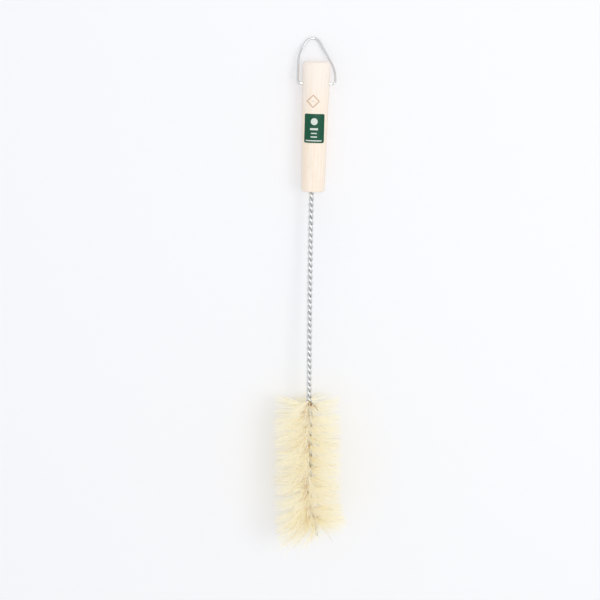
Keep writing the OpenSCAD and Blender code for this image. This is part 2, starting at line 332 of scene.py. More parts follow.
marked = add(tree, MIX, {0: burn, 6: faded.outputs[2], 7: linear("#b98c5c")}, data_type="RGBA")
print(f"The lozenge is {2 * lozenge_reach} mm from corner to corner")

# %% [markdown]
# ## Painted shade round the cross hole
# Where the bail's ends go in, the drilled hole shades the wood beside it. So the wood is
# painted browner within three millimetres of the hole's middle line, as painted shade, on
# both sides of the handle. The shallow bump of the pores is laid over the whole stick here too.

# %% Painted shade round the cross hole
# Painted shade: the wood round the cross hole is painted browner, where the hole shades it.
hole_shade_r, hole_shade_edge = 2.6, 1.2
section = add(tree, VECTORS, {0: wood, 1: (0.0, 1.0, 1.0)}, operation="MULTIPLY")
from_hole = add(tree, VECTORS, {0: section, 1: (0.0, pivot_y, 0.0)}, operation="DISTANCE")
hole_shade = add(tree, MAP_RANGE, {0: from_hole.outputs["Value"], 1: hole_shade_r,
             2: hole_shade_r - hole_shade_edge, 3: 0.0, 4: 0.7}, interpolation_type="SMOOTHSTEP")
marked = add(tree, MIX, {0: hole_shade, 6: marked.outputs[2], 7: linear("#a08058")},
             data_type="RGBA")
tree.links.new(marked.outputs[2], surface.inputs["Base Color"])
grain_bump = add(tree, "ShaderNodeBump", {"Height": pores.outputs[0], "Strength": 0.25,
                                          "Distance": 0.05 * MM})
tree.links.new(grain_bump.outputs[0], surface.inputs["Normal"])


def dress(node, material):
    """Gives a CAD node its finish."""
    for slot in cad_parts[node].material_slots:
        slot.material = material
    print(node, "is finished in", material.name)


dress("handle", beech)

# %% [markdown]
# ## The paper label
# A coated paper label, deep green, with pale print. The print is plain: a disc and four bars
# of different lengths. Each bar is given in millimetres by its middle, measured from the
# label's middle, and by its width and height. Coated paper is smoother than wood, so it
# shines a little.

# %% Label material
label_paper, tree, surface = new_finish("coated_label_paper", roughness=0.45, specular=0.25)
label_turn, label_r, label_inset = math.radians(-4), 9.6, 50.0
sheet = handle_millimetres(tree, (math.sin(label_turn) * label_r, handle_l - label_inset, 0))
print_shapes = [(0.0, -0.5, 6.0, 1.5), (0.0, -3.7, 4.4, 0.8), (0.0, -6.4, 4.8, 0.9),
                (0.0, -9.3, 12.0, 0.8)]
disc_centre, disc_r = (0.0, 5.2, 0.0), 2.6
flat = add(tree, VECTORS, {0: sheet, 1: (1.0, 1.0, 0.0)}, operation="MULTIPLY")
from_disc = add(tree, VECTORS, {0: flat, 1: disc_centre}, operation="DISTANCE")
outside = add(tree, MATHS, {0: from_disc.outputs["Value"], 1: disc_r}, operation="SUBTRACT")
for x, y, width, tall in print_shapes:
    offset = add(tree, VECTORS, {0: flat, 1: (x, y, 0)}, operation="SUBTRACT")
    both_ways = add(tree, VECTORS, {0: offset}, operation="ABSOLUTE")
    past_bar = add(tree, VECTORS, {0: both_ways, 1: (width / 2, tall / 2, 0)},
                   operation="SUBTRACT")
    sides = add(tree, SPLIT, {0: past_bar})
    beyond = add(tree, MATHS, {0: sides.outputs["X"], 1: sides.outputs["Y"]},
                 operation="MAXIMUM")
    outside = add(tree, MATHS, {0: outside, 1: beyond}, operation="MINIMUM")
printed = add(tree, MAP_RANGE, {0: outside, 1: 0.15, 2: -0.15, 3: 0.0, 4: 0.85},
              interpolation_type="SMOOTHSTEP")
ink_grain = add(tree, "ShaderNodeTexNoise", {"Vector": sheet, "Scale": 2.2, "Detail": 3.0})
green = add(tree, RAMP, {0: ink_grain.outputs[0]})
colour_ramp(green, [(0.3, "#0b4a33"), (0.7, "#145841")])
ink = add(tree, MIX, {0: printed, 6: green, 7: linear("#e9efe9")}, data_type="RGBA")
tree.links.new(ink.outputs[2], surface.inputs["Base Color"])
paper_bump = add(tree, "ShaderNodeBump", {"Height": ink_grain.outputs[0], "Strength": 0.15,
                                          "Distance": 0.03 * MM})
tree.links.new(paper_bump.outputs[0], surface.inputs["Normal"])
dress("label", label_paper)

# %% [markdown]
# ## Trees that make geometry
# A tree of nodes can make a mesh as well as a colour. There are two: one for wire and one
# for the fibres. Each has named inputs with a first value, so it can serve several pieces.
# To grow a piece, a tree runs on a carrier that brings only points and edges, and what it
# makes is kept as a plain mesh.

# %% Making and running a geometry tree
def new_tree(name, inputs, output):
    """A geometry tree and its inputs, each a name, a kind of socket and a first value."""
    tree = bpy.data.node_groups.new(name, "GeometryNodeTree")
    tree.is_modifier = True
    for label, kind, start in inputs:
        socket = tree.interface.new_socket(name=label, in_out="INPUT",
                                           socket_type="NodeSocket" + kind)
        if start is not None:
            socket.default_value = start
    tree.interface.new_socket(name=output, in_out="OUTPUT", socket_type="NodeSocketGeometry")
    print(name, "takes", ", ".join(label for label, kind, start in inputs))
    return tree


def grow(carrier, tree, values, name):
    """Runs a tree on a carrier and keeps what it makes as a plain mesh."""
    modifier = carrier.modifiers.new("grown", "NODES")
    modifier.node_group = tree
    for socket in tree.interface.items_tree:
        if socket.in_out == "INPUT" and socket.name in values:
            modifier[socket.identifier] = values[socket.name]
    result = carrier.evaluated_get(bpy.context.evaluated_depsgraph_get())
    mesh = bpy.data.meshes.new_from_object(result)
    carrier.modifiers.remove(modifier)
    bpy.data.objects.remove(carrier)
    made = bpy.data.objects.new(name, mesh)
    made.data.name = name
    scene.collection.objects.link(made)
    mesh.calc_loop_triangles()
    print(f"{name}: {len(mesh.loop_triangles)} triangles")
    return made


print("Geometry trees so far:", len(bpy.data.node_groups))

# %% [markdown]
# ## Wire, from one tree of nodes
# Both wires are round wire that follows a path. A curve with a bevel could make them too,
# but a tree can round each bend by its own radius. It takes a chain of points, makes it a
# curve, rounds each corner by the radius stored on its point, and sweeps a circle along it.
# It also keeps two numbers on the wire: around goes round it from 0 to 1, and along follows
# its length in metres, so that a finish can run along the wire however it bends.

# %% Round wire along a path
tree = new_tree("round_wire", (
    ("Path", "Geometry", None), ("Diameter", "Float", 2 * MM), ("Sides", "Int", 16),
    ("Corner steps", "Int", 14), ("Finish", "Material", None)), "Wire")
given = add(tree, "NodeGroupInput")
corner_r = add(tree, READ, {"Name": "corner_r"})
line = add(tree, "GeometryNodeMeshToCurve", {"Mesh": given.outputs["Path"]})
bent = add(tree, "GeometryNodeFilletCurve", {
    "Curve": line, "Radius": corner_r, "Count": given.outputs["Corner steps"],
    "Limit Radius": True}, mode="POLY")
along = add(tree, "GeometryNodeSplineParameter")
kept_along = add(tree, KEEP, {
    "Geometry": bent, "Name": "along", "Value": along.outputs["Length"]})
radius = add(tree, MATHS, {0: given.outputs["Diameter"], 1: 2.0}, operation="DIVIDE")
ring = add(tree, "GeometryNodeCurvePrimitiveCircle", {
    "Resolution": given.outputs["Sides"], "Radius": radius})
kept_around = add(tree, KEEP, {
    "Geometry": ring, "Name": "around", "Value": along.outputs["Factor"]})
swept = add(tree, "GeometryNodeCurveToMesh", {
    "Curve": kept_along, "Profile Curve": kept_around, "Fill Caps": True})
smooth = add(tree, "GeometryNodeSetShadeSmooth", {"Geometry": swept})
single = add(tree, "GeometryNodeRealizeInstances", {"Geometry": smooth})
finished = add(tree, "GeometryNodeSetMaterial", {
    "Geometry": single, "Material": given.outputs["Finish"]})
add(tree, "NodeGroupOutput", {"Wire": finished})
round_wire = tree
print("The wire tree is done, with", len(round_wire.nodes), "nodes")

# %% [markdown]
# ## Bright drawn steel
# The bail is bright drawn steel: pulled through a die, it keeps very fine lines along its
# length and a clear shine. The two numbers on the wire tell round from along, so the lines
# run along the wire through every bend.

# %% Drawn steel
drawn, tree, surface = new_finish("bright_drawn_steel", roughness=0.14, metallic=1.0)
around = add(tree, "ShaderNodeAttribute", attribute_name="around")
length = add(tree, "ShaderNodeAttribute", attribute_name="along")
die_lines, line_length = 26.0, 12.0
across = add(tree, MATHS, {0: around.outputs["Fac"], 1: die_lines}, operation="MULTIPLY")
lengthways = add(tree, MATHS, {0: length.outputs["Fac"], 1: 1 / (line_length * MM)},
                 operation="MULTIPLY")
unrolled = add(tree, "ShaderNodeCombineXYZ", {0: across, 1: lengthways})
lines = add(tree, "ShaderNodeTexNoise", {"Vector": unrolled, "Scale": 1.0, "Detail": 2.0})
steel_tint = add(tree, RAMP, {0: lines.outputs[0]})
colour_ramp(steel_tint, [(0.3, "#d2d3d4"), (0.7, "#e0e1e1")])
tree.links.new(steel_tint.outputs[0], surface.inputs["Base Color"])
steel_bump = add(tree, "ShaderNodeBump", {"Height": lines.outputs[0], "Strength": 0.08,
                                          "Distance": 0.01 * MM})
tree.links.new(steel_bump.outputs[0], surface.inputs["Normal"])
print(f"{drawn.name}: {die_lines:.0f} fine lines round the wire, {line_length:.0f} mm long")

# %% [markdown]
# ## Galvanised steel
# The stem was dipped in zinc, so it is duller, with patches where the zinc froze in
# crystals a millimetre or so across. Deep in the groove between the strands, and within the
# head, the grey is painted darker and warmer: painted shade, where the strands and the fibres
# shade the wire. How far a point is off the middle line tells the groove.

# %% Galvanised steel
zinc, tree, surface = new_finish("galvanised_steel", roughness=0.36, metallic=1.0)
coordinates = add(tree, "ShaderNodeTexCoord")
crystal = 1.3 * MM
crystals = add(tree, "ShaderNodeTexVoronoi", {"Vector": coordinates.outputs["Object"],
                                              "Scale": 1 / crystal})
grey = add(tree, "ShaderNodeSeparateColor", {0: crystals.outputs["Color"]})
zinc_tint = add(tree, RAMP, {0: grey})
colour_ramp(zinc_tint, [(0.0, "#dddfdf"), (1.0, "#eaebeb")])
off_axis = add(tree, "ShaderNodeAttribute", attribute_name="off_axis")
# Painted shade: a darker, warmer grey deep in the groove between the strands and within the
# head.
groove_shade = add(tree, MAP_RANGE, {0: off_axis.outputs["Fac"], 1: 0.9, 2: 1.75, 3: 0.9, 4: 1.0})
in_the_head, in_the_open = -79.0 * MM, -76.5 * MM
wire_parts = add(tree, SPLIT, {0: coordinates.outputs["Object"]})
head_shade = add(tree, MAP_RANGE, {0: wire_parts.outputs["Y"], 1: in_the_head, 2: in_the_open,
                               3: 0.85, 4: 1.0})
painted_shade = add(tree, MATHS, {0: groove_shade, 1: head_shade}, operation="MULTIPLY")
zinc_colour = add(tree, MIX, {0: painted_shade, 6: linear("#7c7a74"), 7: zinc_tint}, data_type="RGBA")
tree.links.new(zinc_colour.outputs[2], surface.inputs["Base Color"])
frosted = add(tree, MAP_RANGE, {0: grey, 3: 0.3, 4: 0.46})
tree.links.new(frosted.outputs[0], surface.inputs["Roughness"])
print(f"{zinc.name}: crystals {crystal / MM:.1f} mm across")

# %% [markdown]
# ## The bail
# The bail is a springy wire bent over a block: up one side of the handle, over a narrow top
# that leans to the left, and down the other, with its two ends in the cross hole. It is drawn
# flat, x across the handle and y away from the hole, as a chain of corners with a bending
# radius each, then tipped until its top rests on the floor. It swings, so it rides on its own
# body.

# %% Bail
bail_r, foot_r, seat_x, left_leg, right_leg = 0.8, 2.4, 4.63, -14.0, 14.5
pivot_h = axis_h - pivot_y * math.sin(lie)
droop = math.radians(17.3524)
corners = [(-seat_x, 0, 0), (left_leg, 0, foot_r), (left_leg, 24, 24), (-2.7, 39.3, 5.8),
           (right_leg, 10.3, 26), (right_leg, 0, foot_r), (seat_x, 0, 0)]


def bail_point(x, y):
    return Vector((x - middle_x, pivot_y * math.cos(lie) - middle_y + y * math.cos(droop),
                   pivot_h - y * math.sin(droop))) * MM


bail_path = new_object("bail_path", [bail_point(x, y) for x, y, r in corners],
                       edges=[(i, i + 1) for i in range(len(corners) - 1)])
radii = bail_path.data.attributes.new("corner_r", "FLOAT", "POINT")
for spot, (x, y, r) in zip(radii.data, corners):
    spot.value = r * MM
bail = grow(bail_path, round_wire, {"Diameter": bail_r * 2 * MM, "Sides": 20,
                                    "Corner steps": 16, "Finish": drawn}, "hanging_bail")
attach(bail, "bail")
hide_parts("bail")

# %% [markdown]
# ## The twisted stem
# One galvanised wire is folded in the middle and twisted in a lathe. Its two strands run side
# by side in a left-handed screw, touching in the bare stem and held apart by the fibre in the
# head, where the turns are longer. A screw modifier winds only round a straight line, and
# the stem is bowed, so a formula gives each point of a strand.

# %% The screw of the two strands
start_turn, stem_pitch, head_pitch = math.radians(50), 9.35, 16.4
fold_from = head_to + fold_l - 4 * wire_r
bare_offset, head_offset, spread_l = 1.06, 1.6, 5.0


def lay(s):
    """The angle of the first strand round the middle line."""
    turns = min(s, stem_l) / stem_pitch + (min(max(s, stem_l), fold_from) - stem_l) / head_pitch
    return start_turn - 2 * math.pi * turns


def spoke(s, angle):
    """The way out from the middle line at an angle round it."""
    return Matrix.Rotation(angle, 3, heading(s)) @ upward.cross(heading(s)).normalized()


def strand(s, side):
    opened = min(max((s - stem_l + spread_l) / spread_l, 0), 1)
    out = (bare_offset + (head_offset - bare_offset) * opened) * MM
    return middle(s) + side * out * spoke(s, lay(s))


print(f"{(stem_l + wire_in) / stem_pitch:.0f} turns in the handle and the open stem")

# %% [markdown]
# ## One wire, down and back
# The path goes down one strand, round the fold at the tip and back up the other, so it is
# one wire. Then each of its points is told how far it is off the middle line.

# %% Twisted wire
steps_per_mm = 2.4
nose = wire_end - wire_r - head_offset
strand_steps = round((nose + wire_in) * steps_per_mm)
stations = [-wire_in + (nose + wire_in) * i / strand_steps for i in range(strand_steps + 1)]
fold_steps = 12
half_turn = [math.pi * i / fold_steps for i in range(1, fold_steps)]
fold = [middle(nose) + head_offset * MM * (math.cos(a) * spoke(nose, lay(nose))
        + math.sin(a) * heading(nose)) for a in half_turn]
path = [strand(s, 1) for s in stations] + fold + [strand(s, -1) for s in reversed(stations)]
stem_path = new_object("stem_path", path, edges=[(i, i + 1) for i in range(len(path) - 1)])
stem_path.data.attributes.new("corner_r", "FLOAT", "POINT")
stem = grow(stem_path, round_wire, {"Diameter": 2 * wire_r * MM, "Sides": 12,
                                    "Corner steps": 1, "Finish": zinc}, "twisted_wire")
off_axis = stem.data.attributes.new("off_axis", "FLOAT", "POINT")
for spot, vertex in zip(off_axis.data, stem.data.vertices):
    s = -(vertex.co.y / MM + middle_y) / math.cos(lie)
    spot.value = (vertex.co - middle(s)).length / MM
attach(stem, "brush")
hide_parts("stem_wire")

# %% [markdown]
# ## Plant fibre
# The bristles are stiff plant fibres, a quarter of a millimetre thick, pale straw in colour.
# Most are nearly alike and one in thirty or so is browner. They hang together in locks,
# and some locks are golden near the root: partly the fibre's own deeper straw, partly painted
# shade where the fibre is packed. Every root is painted a touch warmer too, as painted shade.
# Every fibre carries its own tint, its lock's number and each point's place along the fibre,
# and the material reads them all. Dry fibre is matt with a slight warm sheen.

# %% Fibre material
straw, tree, surface = new_finish("plant_fibre", roughness=0.5, specular=0.15)
surface.inputs["Sheen Weight"].default_value = 0.35
surface.inputs["Sheen Tint"].default_value = linear("#fff6d8")
tint = add(tree, "ShaderNodeAttribute", attribute_name="tint")
outwards = add(tree, "ShaderNodeAttribute", attribute_name="outwards")
fibre_tint = add(tree, RAMP, {0: tint.outputs["Fac"]})
colour_ramp(fibre_tint, [(0.0, "#bfa270"), (0.02, "#ead3a0"), (0.035, "#fff9e1"),
                         (1.0, "#fffdf2")])
# Painted shade: each fibre is a touch warmer at its root, near the wire.
root_shade_tint = add(tree, RAMP, {0: outwards.outputs["Fac"]})
colour_ramp(root_shade_tint, [(0.0, "#fffaea"), (0.3, "#ffffff"), (1.0, "#ffffff")])
fibre_colour = add(tree, MIX, {0: 1.0, 6: fibre_tint, 7: root_shade_tint},
                   data_type="RGBA", blend_type="MULTIPLY")
lock_tint = add(tree, "ShaderNodeAttribute", attribute_name="lock")
# Golden locks near the root: partly the fibre's own colour, partly painted shade where the
# fibre is packed.
deep_lock = add(tree, MAP_RANGE, {0: lock_tint.outputs["Fac"], 1: 0.12, 2: 0.22,
                                  3: 1.0, 4: 0.0})
at_root = add(tree, MAP_RANGE, {0: outwards.outputs["Fac"], 1: 0.2, 2: 0.55, 3: 0.85, 4: 0.0})
golden_and_shaded_roots = add(tree, MATHS, {0: deep_lock, 1: at_root}, operation="MULTIPLY")
lock_colour = add(tree, MIX, {0: golden_and_shaded_roots, 6: fibre_colour.outputs[2], 7: linear("#d6a544")},
                  data_type="RGBA")
tree.links.new(lock_colour.outputs[2], surface.inputs["Base Color"])
print(straw.name, "is made of", len(tree.nodes), "nodes")

# %% [markdown]
# ## The bristle head
# The fibres lie across between the two strands before the wire is twisted. Twisting turns
# that flat row into a double spiral, pinches each fibre in the middle and makes the ends
# spring apart. Blender's hair could stand for them, but a mesh can be handed on, and a tree
# can follow the twist. In the steps below it places the fibres' starts, sends each one out
# through the gap between the strands, spreads it, trims it, and bends a straight rod to its
# curve. First come its named inputs.

# %% Inputs of the fibre tree
tree = new_tree("twisted_bristles", (
    ("Middle line", "Geometry", None), ("Fibres", "Int", 1000),
    ("Fibres in a lock", "Int", 16), ("Seed", "Int", 1), ("Thickness", "Float", 0.3 * MM),
    ("Reach", "Float", 27 * MM), ("Fan", "Float", 0.25), ("Spread", "Float", 0.25),
    ("Curl", "Float", 0.1), ("Floor", "Float", 0.2 * MM), ("Finish", "Material", None)),
    "Head")
given = add(tree, "NodeGroupInput")
spine = add(tree, "GeometryNodeMeshToCurve", {"Mesh": given.outputs["Middle line"]})

# %% [markdown]
# ## Where each fibre starts
# Fibres start evenly along the middle line, with a little chance. The last turns are packed
# twice as full, as on a real head, where the tip has to scrub the bottle's bottom: what
# would pass the end is folded back. There the tree reads the three facts of the line, and
# the way the line runs.

# %% Starting places
folded_back = 0.12
index = add(tree, "GeometryNodeInputIndex")
chance = add(tree, "FunctionNodeRandomValue", {"Seed": given.outputs["Seed"]})
placed = add(tree, MATHS, {0: index, 1: chance.outputs[1]})
placed = add(tree, MATHS, {0: placed, 1: given.outputs["Fibres"]}, operation="DIVIDE")
placed = add(tree, MATHS, {0: placed, 1: 1 + folded_back}, operation="MULTIPLY")
placed = add(tree, MATHS, {0: placed, 1: 1.0}, operation="PINGPONG")
facts = add(tree, READ, {"Name": "facts"}, data_type="FLOAT_VECTOR")
sample = add(tree, "GeometryNodeSampleCurve", {"Curves": spine, "Factor": placed},
             data_type="FLOAT_VECTOR", mode="FACTOR", use_all_curves=True)
tree.links.new(facts.outputs[0], sample.inputs[1])
at_line = add(tree, SPLIT, {0: sample.outputs[0]})
strand_angle, side_lean, side_reach = (at_line.outputs[axis] for axis in "XYZ")
tangent = sample.outputs["Tangent"]
print(f"The last {folded_back:.0%} of the head is packed double")

# %% [markdown]
# ## Random numbers
# Real fibres hang together in locks. So every fibre gets seven random numbers of its own
# and three that it shares with its lock, the neighbours on the same side of the wire. All
# run from -1 to 1, and each has a seed of its own.

# %% Own and shared random numbers
own_seeds = {"fan": 101, "lean": 102, "spread": 103, "curl on": 105, "curl round": 106,
             "trim": 107, "tint": 108}
lock_seeds = {"fan": 201, "spread": 202, "tint": 203}
side = add(tree, MATHS, {0: index, 1: 2.0}, operation="MODULO")
lock = add(tree, MATHS, {0: index, 1: given.outputs["Fibres in a lock"]}, operation="SNAP")
lock = add(tree, MATHS, {0: lock, 1: side})
own, shared = {}, {}
for numbers, number, seeds in ((own, index, own_seeds), (shared, lock, lock_seeds)):
    for name, seed in seeds.items():
        own_seed = add(tree, MATHS, {0: given.outputs["Seed"], 1: float(seed)})
        numbers[name] = add(tree, "FunctionNodeRandomValue", {
            2: -1.0, 3: 1.0, "ID": number, "Seed": own_seed}).outputs[1]
print("A fibre's own:", *own, "- shared in a lock:", *shared)

# %% [markdown]
# ## Which way a fibre leaves
# Out through the gap, a quarter turn from the first strand, on one side or the other. From
# this direction follow a few soft switches between 0 and 1: how much it faces up, how much
# it goes sideways, and how near it is to the stem or to the tip.

# %% Directions and soft switches
gap_turn = add(tree, MATHS, {0: side, 1: math.pi, 2: math.pi / 2}, operation="MULTIPLY_ADD")
leaving = add(tree, MATHS, {0: strand_angle, 1: gap_turn})
across_line = add(tree, VECTORS, {0: tuple(upward), 1: tangent}, operation="CROSS_PRODUCT")
radial = add(tree, "ShaderNodeVectorRotate", {
    "Vector": across_line, "Axis": tangent, "Angle": leaving}, rotation_type="AXIS_ANGLE")
round_line = add(tree, VECTORS, {0: tangent, 1: radial}, operation="CROSS_PRODUCT")
rising = add(tree, VECTORS, {0: radial, 1: tuple(upward)}, operation="DOT_PRODUCT")
facing_up = add(tree, MATHS, {0: rising.outputs["Value"], 1: 0.0}, operation="MAXIMUM")
facing_up = add(tree, MATHS, {0: facing_up, 1: 1.5}, operation="POWER")
to_the_right = add(tree, SPLIT, {0: radial}).outputs["X"]
sidelong = add(tree, MATHS, {0: to_the_right, 1: 4.0}, operation="POWER")
tip_share, stem_share = 0.22, 0.06
near_tip = add(tree, MAP_RANGE, {0: placed, 1: 1 - tip_share, 2: 1.0})
near_stem = add(tree, MAP_RANGE, {0: placed, 1: 0.0, 2: stem_share, 3: 1.0, 4: 0.0})
print(f"The stem's end is felt over the first {stem_share * head_l:.0f} mm of the head")

# %% [markdown]
# ## How it fans along the brush
# Fan is how far the ends of a lock spring apart along the brush, and it is small next to
# the stem. Most of it is the lock's, and a fifth is the fibre's own.

# %% Fan
from_stem = add(tree, MAP_RANGE, {0: placed, 1: 0.0, 2: stem_share, 3: 0.3, 4: 1.0})
to_tip = add(tree, MAP_RANGE, {0: near_tip, 3: 1.0, 4: 0.9})
fan_here = add(tree, MATHS, {0: from_stem, 1: to_tip}, operation="MULTIPLY")
fan_here = add(tree, MATHS, {0: fan_here, 1: given.outputs["Fan"]}, operation="MULTIPLY")
own_fan = add(tree, MATHS, {0: own["fan"], 1: 0.2}, operation="MULTIPLY")
fan = add(tree, MATHS, {0: shared["fan"], 1: 0.8, 2: own_fan}, operation="MULTIPLY_ADD")
fan = add(tree, MATHS, {0: fan, 1: fan_here}, operation="MULTIPLY")
print(len(tree.nodes), "nodes so far")

# %% [markdown]
# ## How it leans along the brush
# Lean is how far the whole fibre tips towards the tip. Fibres at the sides take it from the
# line's facts. Those that face up are combed forward, and each has a little of its own, both
# by one amount in the body of the head and another at its tip. Both ends of the head push
# their fibres forward too.

# %% Lean
leaning = add(tree, MATHS, {0: side_lean, 1: sidelong}, operation="MULTIPLY")
for cause, in_the_body, at_the_tip in ((own["lean"], 0.09, 0.12), (facing_up, 0.35, 0.08)):
    strength = add(tree, MAP_RANGE, {0: near_tip, 3: in_the_body, 4: at_the_tip})
    leaning = add(tree, MATHS, {0: cause, 1: strength, 2: leaning}, operation="MULTIPLY_ADD")
for cause, strength in ((near_tip, 0.25), (near_stem, 0.12)):
    leaning = add(tree, MATHS, {0: cause, 1: strength, 2: leaning}, operation="MULTIPLY_ADD")
print(len(tree.nodes), "nodes so far")

# %% [markdown]
# ## How it spreads round the wire
# A lock spreads as one and its fibres a little more, round the wire. Fibres that face up lie
# over to the left a little. The head's two ends splay far wider, since no next turn holds
# them, though less where they face up. Last come two directions square to the fibre, one
# level and one below it: they will turn a flat face up.

# %% Spread, splay and curl
own_spread = add(tree, MATHS, {0: own["spread"], 1: 0.3}, operation="MULTIPLY")
spread = add(tree, MATHS, {0: shared["spread"], 1: own_spread})
spread = add(tree, MATHS, {0: spread, 1: given.outputs["Spread"]}, operation="MULTIPLY")
spread = add(tree, MATHS, {0: facing_up, 1: 0.12, 2: spread}, operation="MULTIPLY_ADD")
tip_splay = add(tree, MATHS, {0: near_tip, 1: 2.0}, operation="POWER")
splay = add(tree, MATHS, {0: near_stem, 1: 0.5, 2: tip_splay}, operation="MULTIPLY_ADD")
less_above = add(tree, MAP_RANGE, {0: facing_up, 3: 1.0, 4: 0.3})
splay = add(tree, MATHS, {0: splay, 1: less_above}, operation="MULTIPLY")
spread = add(tree, MATHS, {0: splay, 1: shared["spread"], 2: spread}, operation="MULTIPLY_ADD")
curl = given.outputs["Curl"]
curl_on = add(tree, MATHS, {0: own["curl on"], 1: curl}, operation="MULTIPLY")
curl_round = add(tree, MATHS, {0: own["curl round"], 1: curl}, operation="MULTIPLY")

lean_way = add(tree, VECTORS, {0: tangent, "Scale": leaning}, operation="SCALE")
pointing = add(tree, VECTORS, {0: lean_way, 1: radial})
level = add(tree, VECTORS, {0: (0.0, 0.0, 1.0), 1: pointing}, operation="CROSS_PRODUCT")
level = add(tree, VECTORS, {0: level}, operation="NORMALIZE")
below = add(tree, VECTORS, {0: level, 1: pointing}, operation="CROSS_PRODUCT")
below = add(tree, VECTORS, {0: below}, operation="NORMALIZE")
print(len(tree.nodes), "nodes so far")

# %% [markdown]
# ## How long it is
# The head is trimmed round, with a few per cent of chance. Brushes of this kind are trimmed
# by hand, so the left side is a little longer than the right, most of all near the bent tip.
# A fibre that spreads wide would end farther out than the trimmer cuts, so it is cut back.

# %% Reach
trimmed = add(tree, MAP_RANGE, {0: own["trim"], 1: -1.0, 2: 1.0, 3: 0.86, 4: 1.0})
to_the_left = add(tree, MAP_RANGE, {0: to_the_right, 1: -1.0, 2: -0.4, 3: 0.18, 4: 0.0})
longer = add(tree, MATHS, {0: near_tip, 1: to_the_left, 2: 1.0}, operation="MULTIPLY_ADD")
uneven = add(tree, MAP_RANGE, {0: to_the_right, 1: -1.0, 2: 1.0, 3: 1.07, 4: 0.97})
reach = trimmed
for share in (side_reach, given.outputs["Reach"], longer, uneven):
    reach = add(tree, MATHS, {0: reach, 1: share}, operation="MULTIPLY")
slant = add(tree, MATHS, {0: spread, 1: spread, 2: 1.0}, operation="MULTIPLY_ADD")
slant = add(tree, MATHS, {0: slant}, operation="SQRT")
reach = add(tree, MATHS, {0: reach, 1: slant}, operation="DIVIDE")
print(len(tree.nodes), "nodes so far")

# %% [markdown]
# ## One rod for every fibre
# Thousands of swept curves would be slow, but one straight rod is quick to repeat. Each
# fibre's facts are kept on its starting point, and the rod, which keeps its own points'
# places too, is repeated there. Made real, every point of every rod then holds the facts of
# its fibre.

# %% Rods on the starting points
rod = add(tree, "GeometryNodeMeshCylinder", {
    "Vertices": 3, "Side Segments": 5, "Fill Segments": 1, "Radius": 1.0, "Depth": 1.0})
rod_place = add(tree, "GeometryNodeInputPosition")
kept = add(tree, "GeometryNodePoints", {"Count": given.outputs["Fibres"],
                                        "Position": sample.outputs["Position"]})
tint_number = add(tree, MAP_RANGE, {0: own["tint"], 1: -1.0, 2: 1.0})
lock_number = add(tree, MAP_RANGE, {0: shared["tint"], 1: -1.0, 2: 1.0})
kept_facts = {"radial": radial, "round": round_line, "onward": tangent, "level": level,
              "below": below, "start": sample.outputs["Position"], "fan": fan,
              "lean": leaning, "spread": spread, "curl_on": curl_on,
              "curl_round": curl_round, "reach": reach, "tint": tint_number,
              "lock": lock_number}
directions = ("rod", "radial", "round", "onward", "level", "below", "start")


def fact_type(name):
    return "FLOAT_VECTOR" if name in directions else "FLOAT"


for name, value in kept_facts.items():
    kept = add(tree, KEEP, {"Geometry": kept, "Name": name, "Value": value},
               data_type=fact_type(name))
kept_rod = add(tree, KEEP, {"Geometry": rod, "Name": "rod", "Value": rod_place},
               data_type=fact_type("rod"))
crowd = add(tree, "GeometryNodeInstanceOnPoints", {"Points": kept, "Instance": kept_rod})
rods = add(tree, "GeometryNodeRealizeInstances", {"Geometry": crowd})
print("Each fibre keeps", len(kept_facts), "facts")

# %% [markdown]
# ## Along the fibre's own curve
# Every point of every rod moves to its place. The number out_by says how far out along the
# fibre it lies, and the points crowd near the root, where the curve is sharpest. Near the
# wire the fibre is pinched, so fan and spread open quickly there and then level off, while
# lean and curl grow towards the end.

# %% The curve's middle
told = {}
for name in ("rod", *kept_facts):
    if name not in ("tint", "lock"):
        told[name] = add(tree, READ, {"Name": name}, data_type=fact_type(name))
rod_parts = add(tree, SPLIT, {0: told["rod"]})
even = add(tree, MATHS, {0: rod_parts.outputs["Z"], 1: 0.5})
out_by = add(tree, MATHS, {0: even, 1: 1.7}, operation="POWER")
squared = add(tree, MATHS, {0: out_by, 1: out_by}, operation="MULTIPLY")
to_go = add(tree, MATHS, {0: 1.0, 1: out_by}, operation="SUBTRACT")
still = add(tree, MATHS, {0: to_go, 1: 2.8}, operation="POWER")
opening = add(tree, MATHS, {0: 1.0, 1: still}, operation="SUBTRACT")
curled_on = add(tree, MATHS, {0: told["curl_on"], 1: squared}, operation="MULTIPLY")
leant = add(tree, MATHS, {0: told["lean"], 1: out_by, 2: curled_on}, operation="MULTIPLY_ADD")
forward = add(tree, MATHS, {0: told["fan"], 1: opening, 2: leant}, operation="MULTIPLY_ADD")
curled_round = add(tree, MATHS, {0: told["curl_round"], 1: squared}, operation="MULTIPLY")
sideways = add(tree, MATHS, {0: told["spread"], 1: opening, 2: curled_round},
               operation="MULTIPLY_ADD")
leg_out = add(tree, VECTORS, {0: told["radial"], "Scale": out_by}, operation="SCALE")
leg_on = add(tree, VECTORS, {0: told["onward"], "Scale": forward}, operation="SCALE")
leg_round = add(tree, VECTORS, {0: told["round"], "Scale": sideways}, operation="SCALE")
leg = add(tree, VECTORS, {0: leg_out, 1: leg_on})
leg = add(tree, VECTORS, {0: leg, 1: leg_round})
leg = add(tree, VECTORS, {0: leg, "Scale": told["reach"]}, operation="SCALE")
centre = add(tree, VECTORS, {0: leg, 1: told["start"]})
print(len(tree.nodes), "nodes so far")

# %% [markdown]
# ## Skin, floor and finish
# Round its curve the rod tapers to the thin end of the fibre, with one flat face up. What
# would reach below the floor is pressed flat on it. The last nodes store how far out each
# point is, for the colour, and give the fibre its material.

